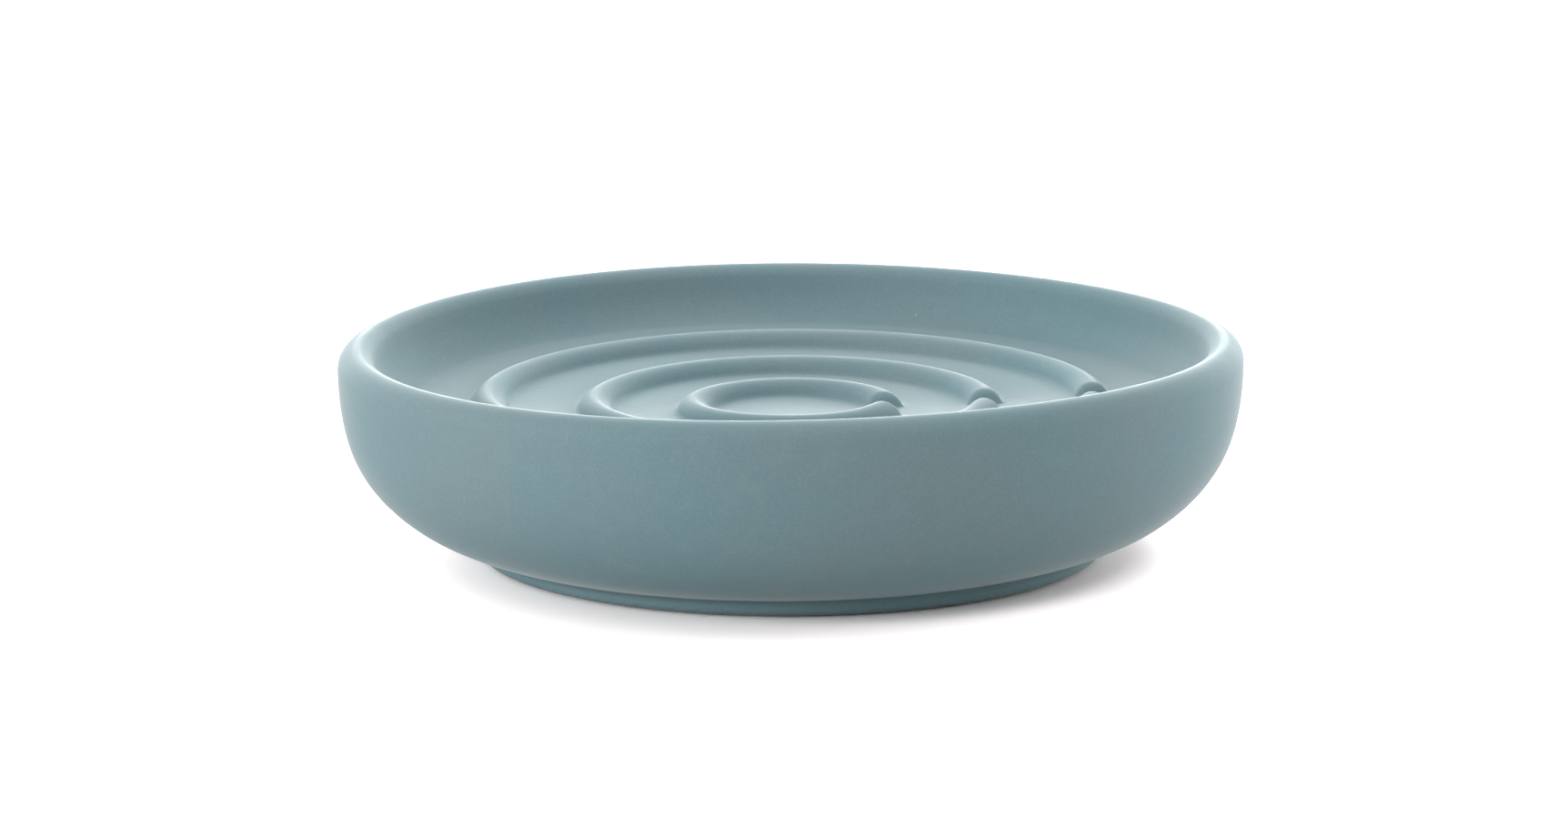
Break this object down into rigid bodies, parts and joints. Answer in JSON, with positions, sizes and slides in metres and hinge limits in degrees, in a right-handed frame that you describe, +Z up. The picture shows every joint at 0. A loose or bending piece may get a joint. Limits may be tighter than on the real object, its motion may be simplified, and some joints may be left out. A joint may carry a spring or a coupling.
{
  "type": "soap dish",
  "caption": "Low round soap dish with a rounded lip, ring-shaped ridges that hold the soap above a dished floor, a drain channel through the ridges, and soft pads under a narrow foot.",
  "frame": {"origin": "on the table, under the centre of the dish, at the height of the pads' undersides", "axes": "+Z up out of the bowl, along the dish's axis; -Y towards the viewer of the picture; +X to the picture's right, with the drain channel 5.8 degrees from it towards -Y"},
  "size_m": [0.12, 0.12, 0.0292],
  "materials": {
    "matt_coated_porcelain": "matte",
    "grey_silicone": "matte"
  },
  "bodies": {
    "root": {"dish_body": "matt_coated_porcelain", "anti_slip_pad_1": "grey_silicone", "anti_slip_pad_2": "grey_silicone", "anti_slip_pad_3": "grey_silicone", "anti_slip_pad_4": "grey_silicone"}
  },
  "joints": []
}
